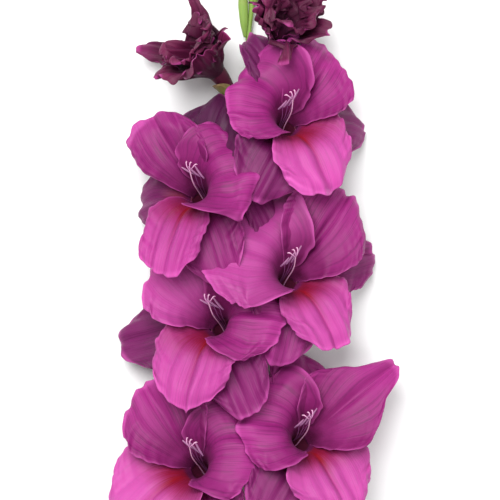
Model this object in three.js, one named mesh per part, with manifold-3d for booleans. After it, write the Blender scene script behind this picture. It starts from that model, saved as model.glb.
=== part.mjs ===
// A cut gladiolus spike, lying on its back on a flat surface with its florets facing up.
// Millimetres. +Y runs along the stem towards the tip of the spike, +Z is up, +X is the
// florets' right-hand side. The group's origin is on the surface, under the middle of the box.

import * as THREE from 'three';
import { mergeVertices } from 'three/addons/utils/BufferGeometryUtils.js';
import Module from 'manifold-3d';

const wasm = await Module();
wasm.setup();

// ---------------------------------------------------------------- driving dimensions

const clearance = 0.3; // between pieces that touch
const sliver = 0.02; // cuts leave no detail finer than this

const internode = 52; // from one open floret's node to the next, along the stem
const crowding = 0.84; // each internode above the open florets, as a share of the one below
const footLength = 225; // bare stem below the lowest node
const headLength = 14; // stem above the highest node
const stemFootRadius = 5.2;
const stemTopRadius = 1.5;
const stemZigzag = 1.2; // sideways step of the stem at each node

const tepalThickness = 0.8;
const mouthRadius = 8; // where the tepals leave the perianth tube
const tubeWall = 0.9;
const ovaryRadius = 3.4;
const neckRadius = 2.7;

const filamentRadius = 0.6;
const antherRadius = 1.1;
const styleRadius = 0.7;
const stigmaLength = 6;
const stigmaRadius = 0.8;

const bractThickness = 0.8;
const bractLength = 46;
const bractHalfAngle = 105; // how far the bract wraps round its tube each way, in degrees

const leafThickness = 1;
const leafWidth = 22;

const degrees = Math.PI / 180;

// ---------------------------------------------------------------- florets

// The six tepals of a floret. phi is the compass bearing round the floret's mouth, clockwise
// from the tip of the spike as seen from above. The inner whorl (upper_left, upper_right and
// lip) lies in front of the outer one. lean holds the angle between the floret's axis and the
// tepal at each of leanKnots, in degrees.
const tepalForm = {
	top: { phi: 0, outer: true, length: 76, width: 62, lean: [ 16, 42, 80, 105 ] },
	upper_right: { phi: 62, outer: false, length: 74, width: 74, lean: [ 14, 34, 60, 84 ] },
	lower_right: { phi: 120, outer: true, length: 66, width: 56, lean: [ 26, 64, 104, 112 ] },
	lip: { phi: 180, outer: false, length: 64, width: 70, lean: [ 24, 56, 86, 108 ], share: 1.4, front: 3 },
	lower_left: { phi: 240, outer: true, length: 66, width: 56, lean: [ 26, 64, 104, 112 ] },
	upper_left: { phi: 298, outer: false, length: 74, width: 74, lean: [ 14, 34, 60, 84 ] },
};

const widestAt = 0.6; // where a tepal is widest, as a share of its length
const leastSlope = 0.85; // keeps a tepal that leans far out from reaching across the throat

// Where along a tepal its four leans are reached, as shares of its length. The middle two are
// shares of funnelLength instead, so that the tepals of a floret make an even funnel.
const leanKnots = [ 0, 0.25, 0.55, 1 ];
const funnelLength = 74;
const lastKnot = 0.85; // the third knot is never further along than this
const outerGap = 1.2; // how far the outer tepals lie behind the inner ones
const outerLean = 3; // how much further the outer tepals lean, so that they stay behind, in degrees

const tepalDefaults = {
	tipWidth: 0.86, // width of the tip, as a share of the widest part
	shoulder: 0.34, // how far the corners of the tip fall back, as a share of the length
	skew: 0, // how much longer the right edge is than the left one, as a share of the length
	share: 0.9, // how much of its third of the funnel it fills: over 1, it overlaps its neighbours
	lop: 0, // how much wider its right side is than its left one
	front: 0, // how far it lies in front of its neighbours
	cup: 0, // extra curl of the sides, towards the viewer if positive, in 1/m
	droop: 0, // how much further its tip leans back, in degrees
};

// A tepal with this droop reaches back to the surface that the spike lies on.
const laid = { droop: 34 };

const florets = [
	{
		name: 'floret_1', node: 5, side: 1, mouth: [ 25, 42, 26 ], yaw: 18, pitch: 24, roll: - 30,
		tepals: {
			top: { phi: 8, length: 76 },
			upper_right: { phi: 64, length: 64, width: 80, skew: - 0.16, shoulder: 0.22 },
			lower_right: { phi: 116, length: 70, droop: 18 },
			lip: { phi: 191, length: 66, width: 68, skew: 0.1 },
			lower_left: { phi: 240, length: 68, width: 62 },
			upper_left: { phi: 314, length: 60, width: 92, lean: [ 14, 34, 98, 130 ], share: 1.4, lop: 0.25 },
		},
	},
	{
		name: 'floret_2', node: 4, side: - 1, mouth: [ - 35, 42, 26 ], yaw: - 20, pitch: 24, roll: 15,
		tepals: {
			top: { phi: 358, length: 82 },
			upper_right: { phi: 56, length: 58, width: 94, lean: [ 14, 34, 98, 124 ], share: 1.4, front: 2 },
			lower_right: { phi: 142, length: 74 },
			lip: { phi: 175, length: 72, width: 50, shoulder: 0.2, share: 1.2 },
			lower_left: { phi: 250, length: 56, ...laid },
			upper_left: { phi: 312, length: 70, width: 62, skew: - 0.1, shoulder: 0.22, cup: 9 },
		},
	},
	{
		name: 'floret_3', node: 3, side: 1, mouth: [ 26, 32, 26 ], yaw: 20, pitch: 24, roll: - 30,
		tepals: {
			top: { phi: 8 },
			upper_right: { phi: 68, length: 80, width: 80, skew: - 0.06 },
			lower_right: { phi: 102, length: 80, lean: [ 26, 60, 100, 102 ] },
			lip: { phi: 188, length: 66, width: 60 },
			lower_left: { phi: 226, length: 68 },
			upper_left: { phi: 322, length: 82, width: 104, lean: [ 14, 34, 96, 116 ], share: 1.35, lop: 0.1 },
		},
	},
	{
		name: 'floret_4', node: 2, side: - 1, mouth: [ - 20, 50, 26 ], yaw: - 22, pitch: 24, roll: 10,
		tepals: {
			top: { phi: 8, length: 72 },
			upper_right: { phi: 76, length: 66, width: 90, lean: [ 14, 34, 98, 122 ], share: 1.3, lop: - 0.1 },
			lower_right: { phi: 142, length: 76 },
			lip: { phi: 180, length: 72, width: 70 },
			lower_left: { phi: 250, length: 86, width: 64, lean: [ 26, 60, 100, 104 ] },
			upper_left: { phi: 304, length: 68, width: 80 },
		},
	},
	{
		name: 'floret_5', node: 1, side: 1, mouth: [ 36, 18, 26 ], yaw: 20, pitch: 24, roll: - 25,
		tepals: {
			top: { phi: 14 },
			upper_right: { phi: 82, length: 92, width: 84, shoulder: 0.5, tipWidth: 0.5 },
			lower_right: { phi: 126, length: 60, ...laid },
			lip: { phi: 188, length: 68, width: 72 },
			lower_left: { phi: 238, length: 74, width: 60 },
			upper_left: { phi: 310, length: 64, width: 90, lean: [ 14, 34, 98, 130 ], share: 1.3, lop: 0.1 },
		},
	},
	{
		name: 'floret_6', node: 0, side: - 1, mouth: [ - 36, 50, 26 ], yaw: - 20, pitch: 24, roll: 22,
		tepals: {
			top: { phi: 0 },
			upper_right: { phi: 60, length: 60, width: 84, lean: [ 14, 34, 98, 128 ], share: 1.3, lop: - 0.1 },
			lower_right: { phi: 130, length: 70 },
			lip: { phi: 198, length: 74, width: 86 },
			lower_left: { phi: 250, ...laid },
			upper_left: { phi: 302, length: 74, width: 78 },
		},
	},
];

const firstNode = - 212; // where the lowest floret's node is along the stem
const lastOpenNode = 5; // the highest open floret's node
const lastNode = 12; // the highest bud's node

// tips: the bearings of the outer tepals that stand off it; lengths: how far each one reaches.
const openingFlorets = [
	{
		name: 'opening_floret_1', node: 6, side: - 1, mouth: [ - 24, 40, 24 ], yaw: - 50, pitch: 38, roll: - 30,
		tips: [ - 70, 10, 150 ], lengths: [ 40, 42, 30 ],
	},
	{
		name: 'opening_floret_2', node: 7, side: 1, mouth: [ 19, 27, 26 ], yaw: 20, pitch: 36, roll: 0,
		tips: [ - 160, - 15, 70 ], lengths: [ 34, 40, 36 ],
	},
];

const buds = [
	{ name: 'bud_1', node: 8, side: - 1, length: 48, radius: 4, spread: 2 },
	{ name: 'bud_2', node: 9, side: 1, length: 43, radius: 4.6, spread: 6 },
	{ name: 'bud_3', node: 10, side: - 1, length: 36, radius: 4.3, spread: 6.5 },
	{ name: 'bud_4', node: 11, side: 1, length: 29, radius: 3.6, spread: 5 },
	{ name: 'bud_5', node: 12, side: - 1, length: 23, radius: 3, spread: 3.6 },
];

const leaves = [
	{ name: 'leaf_1', side: - 1, foot: 36, length: 170 }, // foot: height above the cut end
	{ name: 'leaf_2', side: 1, foot: 96, length: 118 },
];

// ---------------------------------------------------------------- shared shapes

const smooth = ( from, to, x ) => THREE.MathUtils.smoothstep( x, from, to );
const vector = ( x, y, z ) => new THREE.Vector3( x, y, z );

// A closed sheet. point( u, v ) is its middle surface: u runs from the base (0) to the tip (1)
// and v across it (-1 to 1). Its front faces the side of dP/du x dP/dv. rim makes it that much
// larger all round.
function sheet( point, thickness, rows, columns, rim = 0 ) {

	const positions = [];
	const backs = [];
	const step = 1e-3;
	const outward = ( k, last ) => rim * ( ( k === last ) - ( k === 0 ) );

	for ( let i = 0; i <= rows; i ++ ) {

		for ( let j = 0; j <= columns; j ++ ) {

			const u = i / rows;
			const v = 2 * j / columns - 1;
			const along = point( Math.min( 1, u + step ), v ).sub( point( Math.max( 0, u - step ), v ) );
			const across = point( u, v + step ).sub( point( u, v - step ) );
			const half = along.clone().cross( across ).setLength( thickness / 2 );
			const middle = point( u, v )
				.addScaledVector( along.normalize(), outward( i, rows ) )
				.addScaledVector( across.normalize(), outward( j, columns ) );
			positions.push( ...middle.clone().add( half ) );
			backs.push( ...middle.sub( half ) );

		}

	}

	const count = positions.length / 3;
	const index = [];
	const at = ( i, j ) => i * ( columns + 1 ) + j;
	const wall = ( a, b ) => index.push( a, b, b + count, a, b + count, a + count );

	for ( let i = 0; i < rows; i ++ ) {

		for ( let j = 0; j < columns; j ++ ) {

			const [ a, b, c, d ] = [ at( i, j ), at( i + 1, j ), at( i + 1, j + 1 ), at( i, j + 1 ) ];
			index.push( a, b, c, a, c, d );
			index.push( a + count, c + count, b + count, a + count, d + count, c + count );

		}

	}

	for ( let j = 0; j < columns; j ++ ) {

		wall( at( 0, j ), at( 0, j + 1 ) );
		wall( at( rows, j + 1 ), at( rows, j ) );

	}

	for ( let i = 0; i < rows; i ++ ) {

		wall( at( i + 1, 0 ), at( i, 0 ) );
		wall( at( i, columns ), at( i + 1, columns ) );

	}

	return indexed( [ ...positions, ...backs ], index );

}

function indexed( positions, index ) {

	return new THREE.BufferGeometry()
		.setAttribute( 'position', new THREE.Float32BufferAttribute( positions, 3 ) )
		.setIndex( index );

}

// A closed body swept along a curve. rings lists [ share of the curve, radius ] in the order
// in which the skin meets them, so a list that runs back again makes a hollow horn.
function horn( curve, rings, sides ) {

	const segments = 120;
	const frames = curve.computeFrenetFrames( segments );
	const positions = [];
	const index = [];

	for ( const [ share, radius ] of rings ) {

		const k = Math.round( share * segments );
		const centre = curve.getPointAt( k / segments );

		for ( let j = 0; j < sides; j ++ ) {

			const angle = 2 * Math.PI * j / sides;
			positions.push( ...centre.clone()
				.addScaledVector( frames.normals[ k ], radius * Math.cos( angle ) )
				.addScaledVector( frames.binormals[ k ], radius * Math.sin( angle ) ) );

		}

	}

	for ( let i = 0; i < rings.length - 1; i ++ ) {

		for ( let j = 0; j < sides; j ++ ) {

			const a = i * sides + j;
			const b = i * sides + ( j + 1 ) % sides;
			index.push( a, b, b + sides, a, b + sides, a + sides );

		}

	}

	const last = ( rings.length - 1 ) * sides;

	for ( let j = 1; j < sides - 1; j ++ ) {

		index.push( 0, j + 1, j );
		index.push( last, last + j, last + j + 1 );

	}

	return indexed( positions, index );

}

// ---------------------------------------------------------------- solids and clearances

function toSolid( geometry ) {

	const bare = geometry.clone();
	bare.deleteAttribute( 'normal' );
	bare.deleteAttribute( 'uv' );
	const merged = mergeVertices( bare, 1e-4 );
	return new wasm.Manifold( new wasm.Mesh( {
		numProp: 3,
		vertProperties: merged.attributes.position.array,
		triVerts: new Uint32Array( merged.index.array ),
	} ) );

}

function toGeometry( solid ) {

	const mesh = solid.getMesh();
	return indexed( Array.from( mesh.vertProperties ), Array.from( mesh.triVerts ) );

}

// Several overlapping closed shapes made into one.
function joined( geometries ) {

	return toGeometry( geometries.map( toSolid ).reduce( ( whole, piece ) => whole.add( piece ) ) );

}

const taken = []; // the space of the pieces placed so far

function boxesMeet( a, b ) {

	const one = a.boundingBox();
	const two = b.boundingBox();
	return [ 0, 1, 2 ].every( ( k ) => one.min[ k ] < two.max[ k ] && two.min[ k ] < one.max[ k ] );

}

const largest = ( solid ) => solid.decompose().sort( ( a, b ) => b.volume() - a.volume() )[ 0 ];

// Adds a piece to the spike. A later piece gives way to the ones before it: it is cut back by
// each one's keepOut, which is that piece with the clearance added all round.
function place( name, geometry, keepOut, material ) {

	const whole = toSolid( geometry );
	let solid = whole;

	for ( const other of taken ) {

		if ( boxesMeet( solid, other ) ) solid = solid.subtract( other );

	}

	taken.push( whole.add( toSolid( keepOut ) ) );
	const mesh = new THREE.Mesh( toGeometry( largest( solid ).simplify( sliver ) ), material );
	mesh.name = name;
	spike.add( mesh );

}

// The same for a sheet, whose keepOut is a thicker and wider one.
function placeSheet( name, surface, thickness, rows, columns, material ) {

	place( name, sheet( surface, thickness, rows, columns ),
		sheet( surface, thickness + 2 * clearance, rows, columns, clearance ), material );

}

// ---------------------------------------------------------------- the floret's own frame

// Unit vectors of a floret: axis points out of its mouth, up towards the tip of the spike and
// right to the viewer's right.
function floretFrame( floret ) {

	const yaw = floret.yaw * degrees;
	const pitch = floret.pitch * degrees;
	const across = Math.cos( pitch );
	const axis = vector( Math.sin( yaw ) * across, Math.sin( pitch ), Math.cos( yaw ) * across );
	const right = vector( 0, 1, 0 ).cross( axis ).normalize();
	const up = axis.clone().cross( right );
	const node = stemNode( floret.node );
	const mouth = node.clone().add( vector( ...floret.mouth ) );
	return { axis, right, up, node, mouth };

}

// The point on the stem's middle line where floret, bud or bract number grows, from 0 at the
// lowest floret. Odd ones are on the right.
function stemNode( number ) {

	const crowded = Math.max( 0, number - lastOpenNode );
	const crowdedLength = internode * crowding * ( 1 - crowding ** crowded ) / ( 1 - crowding );
	const y = firstNode + internode * Math.min( number, lastOpenNode ) + crowdedLength;
	return vector( ( number % 2 ? 1 : - 1 ) * stemZigzag, y, 0 );

}

function stemRadiusAt( y ) {

	const foot = firstNode - footLength;
	const head = stemNode( lastNode ).y + headLength;
	return THREE.MathUtils.mapLinear( y, foot, head, stemFootRadius, stemTopRadius );

}

// The middle surface of a tepal.
function tepalSurface( floret, name ) {

	const form = { ...tepalDefaults, ...tepalForm[ name ], ...floret.tepals[ name ] };
	const frame = floretFrame( floret );
	const length = form.length;
	const halfWidth = form.width / 2;
	const baseRadius = mouthRadius - tubeWall / 2 + ( form.outer ? tepalThickness + clearance : 0 );
	const baseHalf = baseRadius * Math.PI / 3;
	const bearing = ( form.phi + floret.roll ) * degrees;
	const stretch = funnelLength / length;
	const knots = [ 0, leanKnots[ 1 ] * stretch, Math.min( lastKnot, leanKnots[ 2 ] * stretch ), 1 ];
	const footLean = form.lean[ 0 ] + ( form.outer ? outerLean : 0 );
	const leanAt = ( t ) => degrees * knots.slice( 1 ).reduce(
		( lean, knot, k ) => lean + ( form.lean[ k + 1 ] - form.lean[ k ] ) * smooth( knots[ k ], knot, t ),
		footLean + form.droop * t );

	// the midrib, as radius from the axis and height above the mouth, by equal steps
	const steps = 40;
	const rib = [ [ baseRadius, clearance ] ];

	for ( let i = 0; i < steps; i ++ ) {

		const lean = leanAt( ( i + 0.5 ) / steps );
		rib.push( [
			rib[ i ][ 0 ] + Math.sin( lean ) * length / steps,
			rib[ i ][ 1 ] + Math.cos( lean ) * length / steps,
		] );

	}

	const ribAt = ( t ) => {

		const x = t * steps;
		const i = Math.min( steps - 1, Math.floor( x ) );
		const f = x - i;
		return [ 0, 1 ].map( ( k ) => rib[ i ][ k ] * ( 1 - f ) + rib[ i + 1 ][ k ] * f );

	};

	// half the width, which inside the funnel is no more than the tepal's third of the round
	const widthAt = ( u ) => {

		const rise = Math.sin( Math.PI / 2 * Math.min( 1, u / widestAt ) ) ** 0.85;
		const fall = 1 - ( 1 - form.tipWidth ) * smooth( widestAt, 1.02, u );
		const free = ( baseHalf + ( halfWidth - baseHalf ) * rise ) * fall;
		const slope = Math.max( leastSlope, Math.cos( leanAt( u ) ) );
		const third = ribAt( u )[ 0 ] * form.share * Math.PI / 3 / slope;
		return ( free ** - 4 + third ** - 4 ) ** - 0.25;

	};

	const outward = frame.up.clone().multiplyScalar( Math.cos( bearing ) )
		.addScaledVector( frame.right, Math.sin( bearing ) );
	const side = frame.right.clone().multiplyScalar( Math.cos( bearing ) )
		.addScaledVector( frame.up, - Math.sin( bearing ) );

	return ( u, v ) => {

		const t = u * ( 1 + form.skew * v - form.shoulder * Math.abs( v ) ** 2.2 );
		const [ radius, height ] = ribAt( t );
		const lean = leanAt( t );
		const front = frame.axis.clone().multiplyScalar( Math.sin( lean ) )
			.addScaledVector( outward, - Math.cos( lean ) );

		const curl = Math.cos( lean ) / radius + form.cup / 1000 * smooth( 0.1, 0.8, t );
		const x = v * widthAt( u ) * ( 1 + form.lop * v );
		const bent = Math.abs( curl * x ) > 1e-4;
		const across = bent ? Math.sin( curl * x ) / curl : x;
		const deep = bent ? ( 1 - Math.cos( curl * x ) ) / curl : 0;
		const layered = ( form.front - ( form.outer ? outerGap : 0 ) ) * smooth( 0.02, 0.3, t );

		return frame.mouth.clone()
			.addScaledVector( frame.axis, height )
			.addScaledVector( outward, radius )
			.addScaledVector( side, across )
			.addScaledVector( front, deep + layered );

	};

}

// ---------------------------------------------------------------- pieces of a floret

function tubeCurve( floret ) {

	const { axis, node, mouth } = floretFrame( floret );
	const off = stemRadiusAt( node.y ) + ovaryRadius;
	const start = node.clone().add( vector( 0.75 * floret.side * off, 0, 0.75 * off ) );
	const reach = start.distanceTo( mouth );
	const leave = vector( floret.side * 0.35, 0.8, 0.5 ).normalize();
	return new THREE.CubicBezierCurve3( start, start.clone().addScaledVector( leave, 0.45 * reach ),
		mouth.clone().addScaledVector( axis, - 0.45 * reach ), mouth.clone() );

}

const tubeProfile = [
	[ 0.1, ovaryRadius * 0.8 ],
	[ 0.18, ovaryRadius ],
	[ 0.3, neckRadius ],
	[ 0.6, neckRadius + 1.2 ],
	[ 0.82, mouthRadius * 0.72 ],
	[ 1, mouthRadius ],
];
const tubeFloor = 0.6; // share of the tube's length where its hollow ends

function tubeRadiusAt( share ) {

	const next = Math.max( 1, tubeProfile.findIndex( ( [ place ] ) => place >= share ) );
	const [ [ x0, r0 ], [ x1, r1 ] ] = [ tubeProfile[ next - 1 ], tubeProfile[ next ] ];
	return THREE.MathUtils.mapLinear( share, x0, x1, r0, r1 );

}

// A point of the floret: dorsal is towards its top tepal, sideways to the viewer's right of
// that, and along out of its mouth.
function floretPoint( floret, dorsal, sideways, along ) {

	const { axis, right, up, mouth } = floretFrame( floret );
	const roll = floret.roll * degrees;
	return mouth.clone()
		.addScaledVector( up, dorsal * Math.cos( roll ) - sideways * Math.sin( roll ) )
		.addScaledVector( right, dorsal * Math.sin( roll ) + sideways * Math.cos( roll ) )
		.addScaledVector( axis, along );

}

// The three stamens stand on the tube's dorsal wall and the style on the ovary below it.
function stamensAndStyle( floret, curve ) {

	const inWall = ( sideways ) => curve.getPointAt( 0.72 ).add(
		floretPoint( floret, neckRadius + 1.6, sideways, 0 ).sub( floretFrame( floret ).mouth ) );
	const stamens = [ - 1, 0, 1 ].map( ( k ) => horn( new THREE.CatmullRomCurve3( [
		inWall( k * 1.2 ),
		floretPoint( floret, 4.2, k * 2, - 2 ),
		floretPoint( floret, 5.6, k * 3.4, 12 ),
		floretPoint( floret, 9, k * 5, 24 + k ),
		floretPoint( floret, 13, k * 5.4, 33 + k ),
	] ), [ [ 0, filamentRadius ], [ 0.35, filamentRadius ], [ 0.72, filamentRadius ],
		[ 0.76, antherRadius ], [ 1, antherRadius ] ], 4 ) );

	const fork = floretPoint( floret, 7.5, 0, 33 );
	const style = horn( new THREE.CatmullRomCurve3( [
		curve.getPointAt( tubeFloor - 0.04 ),
		curve.getPointAt( 0.8 ),
		floretPoint( floret, 1.6, 0, 2 ),
		floretPoint( floret, 3, 0, 20 ),
		fork,
	] ), [ [ 0, styleRadius ], [ 0.4, styleRadius ], [ 0.7, styleRadius ], [ 1, styleRadius ] ], 4 );
	const stigmas = [ - 1, 0, 1 ].map( ( k ) => horn( new THREE.LineCurve3(
		floretPoint( floret, 7.3, 0, 32.2 ),
		floretPoint( floret, 7.5 + 0.55 * stigmaLength, k * 0.6 * stigmaLength, 33 + 0.5 * stigmaLength ),
	), [ [ 0, styleRadius * 0.8 ], [ 1, stigmaRadius ] ], 4 ) );

	return [ ...stamens, style, ...stigmas ];

}

// The ovary, perianth tube, stamens and style grow as one piece.
function makeTube( floret ) {

	const curve = tubeCurve( floret );
	const hollow = tubeProfile.filter( ( [ share ] ) => share >= tubeFloor ).reverse()
		.map( ( [ share, radius ] ) => [ share, radius - tubeWall ] );
	const keepOut = tubeProfile.map( ( [ share, radius ] ) => [ share, radius + clearance ] );
	place( floret.name + '_tube_and_stamens',
		joined( [ horn( curve, [ ...tubeProfile, ...hollow ], 8 ), ...stamensAndStyle( floret, curve ) ] ),
		horn( curve, keepOut, 8 ), materials.tube );

}

function makeTepals( floret ) {

	for ( const name of [ 'lip', 'upper_left', 'upper_right', 'top', 'lower_left', 'lower_right' ] ) {

		const surface = tepalSurface( floret, name );
		placeSheet( floret.name + '_' + name, surface, tepalThickness, 5, 4, materials.tepal );

	}

}

// The green bract clasps the outer side of the tube from its foot.
function makeBract( floret, curve, radiusAt ) {

	const length = curve.getLength();
	const outside = vector( floret.side * 0.6, - 0.4, 0.7 );
	const surface = ( u, v ) => {

		const share = Math.min( 1, 0.08 + u * bractLength / length );
		const tangent = curve.getTangentAt( share );
		const normal = outside.clone().addScaledVector( tangent, - outside.dot( tangent ) ).normalize();
		const beside = tangent.clone().cross( normal );
		const narrowing = Math.sqrt( Math.max( 0.004, 1 - u ** 2.2 ) );
		const angle = v * bractHalfAngle * degrees * narrowing;
		const radius = radiusAt( share ) + clearance * 2 + bractThickness / 2 + 2.2 * smooth( 0.5, 1, u );
		return curve.getPointAt( share )
			.addScaledVector( normal, radius * Math.cos( angle ) )
			.addScaledVector( beside, radius * Math.sin( angle ) );

	};
	placeSheet( floret.name + '_bract', surface, bractThickness, 4, 4, materials.green );

}

// ---------------------------------------------------------------- opening florets, buds, leaves

// A floret that has begun to unfurl: a tapering tube, three outer tepals that stand off it
// and a crumpled knot of inner ones between them, all still gathered into one body.
function makeOpeningFloret( floret ) {

	const curve = tubeCurve( floret );
	const radiusAt = ( share ) => THREE.MathUtils.mapLinear( share, 0, 1, neckRadius, 1.3 * mouthRadius );
	const rings = [ 0.08, 0.35, 0.6, 0.8, 1 ].map( ( share ) => [ share, radiusAt( share ) ] );
	const rim = radiusAt( 1 );
	const knot = new THREE.LineCurve3( floretPoint( floret, 0, 0, - 2 ), floretPoint( floret, 0, 0, 17 ) );
	const outer = floret.tips.map( ( bearing, k ) => sheet( ( u, v ) => {

		const angle = bearing * degrees + v * 0.9 * ( 1 - 0.86 * u ** 1.5 );
		const out = rim * 0.75 + u * floret.lengths[ k ] * 0.82;
		const along = - 3 + 14 * Math.sin( Math.PI * 0.6 * u ) + 5 * v * v * ( 1 - u );
		return floretPoint( floret, out * Math.cos( angle ), out * Math.sin( angle ), along );

	}, 2.4 * tepalThickness, 5, 4 ) );
	const body = joined( [
		horn( curve, rings, 9 ),
		horn( knot, [ [ 0, rim ], [ 0.35, rim * 1.35 ], [ 0.75, rim * 1.2 ], [ 1, rim * 0.6 ] ], 9 ),
		...outer,
	] );
	place( floret.name + '_tepals', body, body, materials.crumpled );
	makeBract( floret, curve, radiusAt );

}

// A bud wrapped in its own bracts, a spindle that stands off the stem and bends back along it.
function makeBud( bud ) {

	const node = stemNode( bud.node );
	const off = stemRadiusAt( node.y ) + clearance;
	const curve = new THREE.CatmullRomCurve3( [ 0, 0.35, 0.7, 1 ].map( ( share ) => node.clone().add( vector(
		bud.side * ( off + bud.spread * Math.sin( 1.7 * share ) ),
		bud.length * share,
		off * 0.6 + bud.spread * 0.5 * share,
	) ) ) );
	const profile = [ [ 0, 0.35 ], [ 0.2, 0.8 ], [ 0.45, 1 ], [ 0.7, 0.8 ], [ 0.9, 0.42 ], [ 1, 0.12 ] ];
	const spindle = ( extra ) => horn(
		curve, profile.map( ( [ share, width ] ) => [ share, bud.radius * width + extra ] ), 8 );
	place( bud.name, spindle( 0 ), spindle( clearance ), materials.green );

}

// A leaf whose foot wraps the stem and whose blade turns flat beside it.
function makeLeaf( leaf ) {

	const foot = firstNode - footLength + leaf.foot;
	const surface = ( u, v ) => {

		const y = foot + leaf.length * u;
		const wrap = stemRadiusAt( y ) + clearance + leafThickness / 2;
		const open = smooth( 0.12, 0.5, u );
		const halfWidth = leafWidth / 2 * Math.sqrt( Math.max( 0.002, 1 - u ** 3 ) );
		const x = v * halfWidth;
		const bend = ( 1 - open ) / wrap;
		const across = Math.abs( bend * x ) > 1e-4 ? Math.sin( bend * x ) / bend : x;
		const deep = Math.abs( bend * x ) > 1e-4 ? ( 1 - Math.cos( bend * x ) ) / bend : 0;
		const turn = 80 * degrees * open;
		const away = wrap + open * ( leafWidth / 2 ) + 14 * smooth( 0.3, 1, u );
		return vector(
			leaf.side * ( away - deep * Math.cos( turn ) + across * Math.sin( turn ) ),
			y,
			across * Math.cos( turn ) + deep * Math.sin( turn ) - 2 * open,
		);

	};
	placeSheet( leaf.name, surface, leafThickness, 9, 4, materials.green );

}

function makeStem() {

	const foot = vector( 0, firstNode - footLength, 0 );
	const nodes = Array.from( { length: lastNode + 1 }, ( _, number ) => stemNode( number ) );
	const head = vector( 0, stemNode( lastNode ).y + headLength, 0 );
	const halfway = vector( 0, firstNode - footLength / 2, 0 );
	const curve = new THREE.CatmullRomCurve3( [ foot, halfway, ...nodes, head ] );
	const shares = Array.from( { length: 25 }, ( _, i ) => i / 24 );
	const rings = ( extra ) => shares.map(
		( share ) => [ share, stemRadiusAt( curve.getPointAt( share ).y ) + extra ] );
	place( 'stem', horn( curve, rings( 0 ), 10 ), horn( curve, rings( clearance ), 10 ), materials.green );

}

// ---------------------------------------------------------------- materials and assembly

const materials = {
	green: new THREE.MeshStandardMaterial( { color: 0x5d7a33, roughness: 0.5, metalness: 0 } ),
	crumpled: new THREE.MeshStandardMaterial( { color: 0x5c1f45, roughness: 0.6, metalness: 0 } ),
	tube: new THREE.MeshStandardMaterial( { color: 0x9a3d7c, roughness: 0.6, metalness: 0 } ),
	tepal: new THREE.MeshStandardMaterial( { color: 0xb8409a, roughness: 0.6, metalness: 0 } ),
};

const spike = new THREE.Group();

makeStem();
florets.forEach( makeTube );
florets.forEach( makeTepals );
openingFlorets.forEach( makeOpeningFloret );
buds.forEach( makeBud );
florets.forEach( ( floret ) => makeBract( floret, tubeCurve( floret ), tubeRadiusAt ) );
leaves.forEach( makeLeaf );

const box = new THREE.Box3().setFromObject( spike );
const middle = box.getCenter( vector( 0, 0, 0 ) );
spike.position.set( - middle.x, - middle.y, - box.min.z );

export default spike;
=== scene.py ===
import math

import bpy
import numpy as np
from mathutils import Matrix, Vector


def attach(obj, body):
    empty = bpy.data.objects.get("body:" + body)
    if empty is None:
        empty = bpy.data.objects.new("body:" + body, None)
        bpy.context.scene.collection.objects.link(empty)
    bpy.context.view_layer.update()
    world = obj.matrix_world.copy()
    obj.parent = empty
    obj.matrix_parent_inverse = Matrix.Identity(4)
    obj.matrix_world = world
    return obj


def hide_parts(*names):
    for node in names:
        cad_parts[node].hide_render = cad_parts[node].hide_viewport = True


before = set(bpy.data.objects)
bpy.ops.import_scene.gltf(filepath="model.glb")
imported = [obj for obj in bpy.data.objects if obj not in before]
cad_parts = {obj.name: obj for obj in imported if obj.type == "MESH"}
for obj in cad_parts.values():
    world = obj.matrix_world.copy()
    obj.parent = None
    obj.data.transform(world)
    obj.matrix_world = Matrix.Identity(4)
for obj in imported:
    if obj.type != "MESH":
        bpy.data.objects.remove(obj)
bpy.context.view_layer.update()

# A cut gladiolus spike that lies on its back on a pale surface, its florets facing up.
#
# The florets, buds and leaves are worked out in the spike's own frame, in millimetres: +Y along
# the stem towards the tip, +Z the way the florets face, and the stem's middle line through
# x = 0, z = 0. placed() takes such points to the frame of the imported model, in metres.

BODY = "root"
MM = 0.001

# ---------------------------------------------------------------- sizes, in millimetres

FIRST_NODE = -212  # where the lowest floret's node is along the stem
LAST_OPEN_NODE = 5
LAST_NODE = 12
INTERNODE = 52
CROWDING = 0.84  # each internode above the open florets, as a share of the one below
FOOT_LENGTH = 225  # bare stem below the lowest node
HEAD_LENGTH = 14
STEM_FOOT_RADIUS = 5.2
STEM_TOP_RADIUS = 1.5
STEM_ZIGZAG = 1.2
RIDGE_HEIGHT = 0.1

TEPAL_THICKNESS = 0.45
MOUTH_RADIUS = 8
OVARY_RADIUS = 3.4
NECK_RADIUS = 2.7
TUBE_SWELL = 1.2  # how much wider the tube is where the stamens grow than at its neck
TUBE_WALL = 0.6
TUBE_RINGS = 60
TUBE_SIDES = 32
HOLLOW_FLOOR = 35  # the tube is hollow from this ring to the mouth

FILAMENT_RADIUS = 0.34
ANTHER_RADIUS = 0.65
ANTHER_LENGTH = 11
STYLE_RADIUS = 0.4
STIGMA_LENGTH = 6
FILAMENT_RING = 44  # the ring of the tube that the filaments grow from
STYLE_RINGS = [34, 48]  # the rings of the tube that the style goes through

BRACT_LENGTH = 46
OPENING_BRACT_LENGTH = 40
BRACT_START = 0.08  # where a bract grows on the tube, as a share of the tube's length
BRACT_CLEARANCE = 1.1
BRACT_FLARE = 2.2
BRACT_THICKNESS = 0.5
BRACT_HALF_ANGLE = 105  # degrees
BUD_BRACT_HALF_ANGLE = 118
BUD_BRACT_THICKNESS = 0.35
LEAF_WIDTH = 22
LEAF_THICKNESS = 0.6

# ---------------------------------------------------------------- florets

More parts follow.
